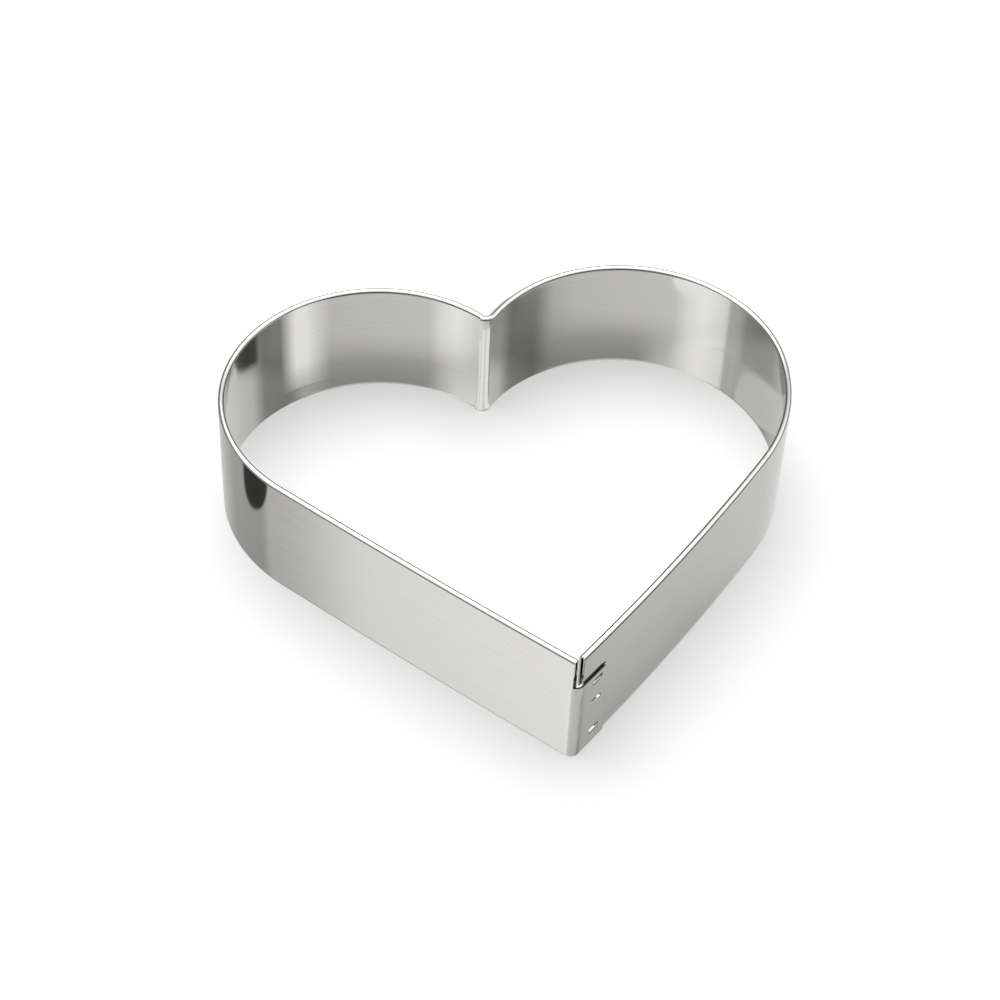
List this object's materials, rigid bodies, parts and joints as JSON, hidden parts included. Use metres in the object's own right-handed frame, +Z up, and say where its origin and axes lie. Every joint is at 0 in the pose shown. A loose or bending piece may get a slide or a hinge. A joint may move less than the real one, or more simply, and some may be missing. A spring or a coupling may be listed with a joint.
{
  "type": "cookie cutter",
  "caption": "Heart-shaped cookie cutter of thin stainless strip: rim folded into a hem, lapped and lanced joint at the tip, lapped joint at the cleft, open through top and bottom.",
  "frame": {"origin": "on the plane of the cutting edge, under the middle of the overall width and length", "axes": "+Z up from the cutting edge to the folded rim, -Y towards the heart's tip, +Y towards the cleft, +X across to the half that the tab laps over"},
  "size_m": [0.1058, 0.0978, 0.025],
  "materials": {
    "steel": "bright rolled stainless strip, faint upright draw lines, dark sheared edges"
  },
  "bodies": {
    "root": {"left_band": "steel", "right_band": "steel"}
  },
  "joints": []
}
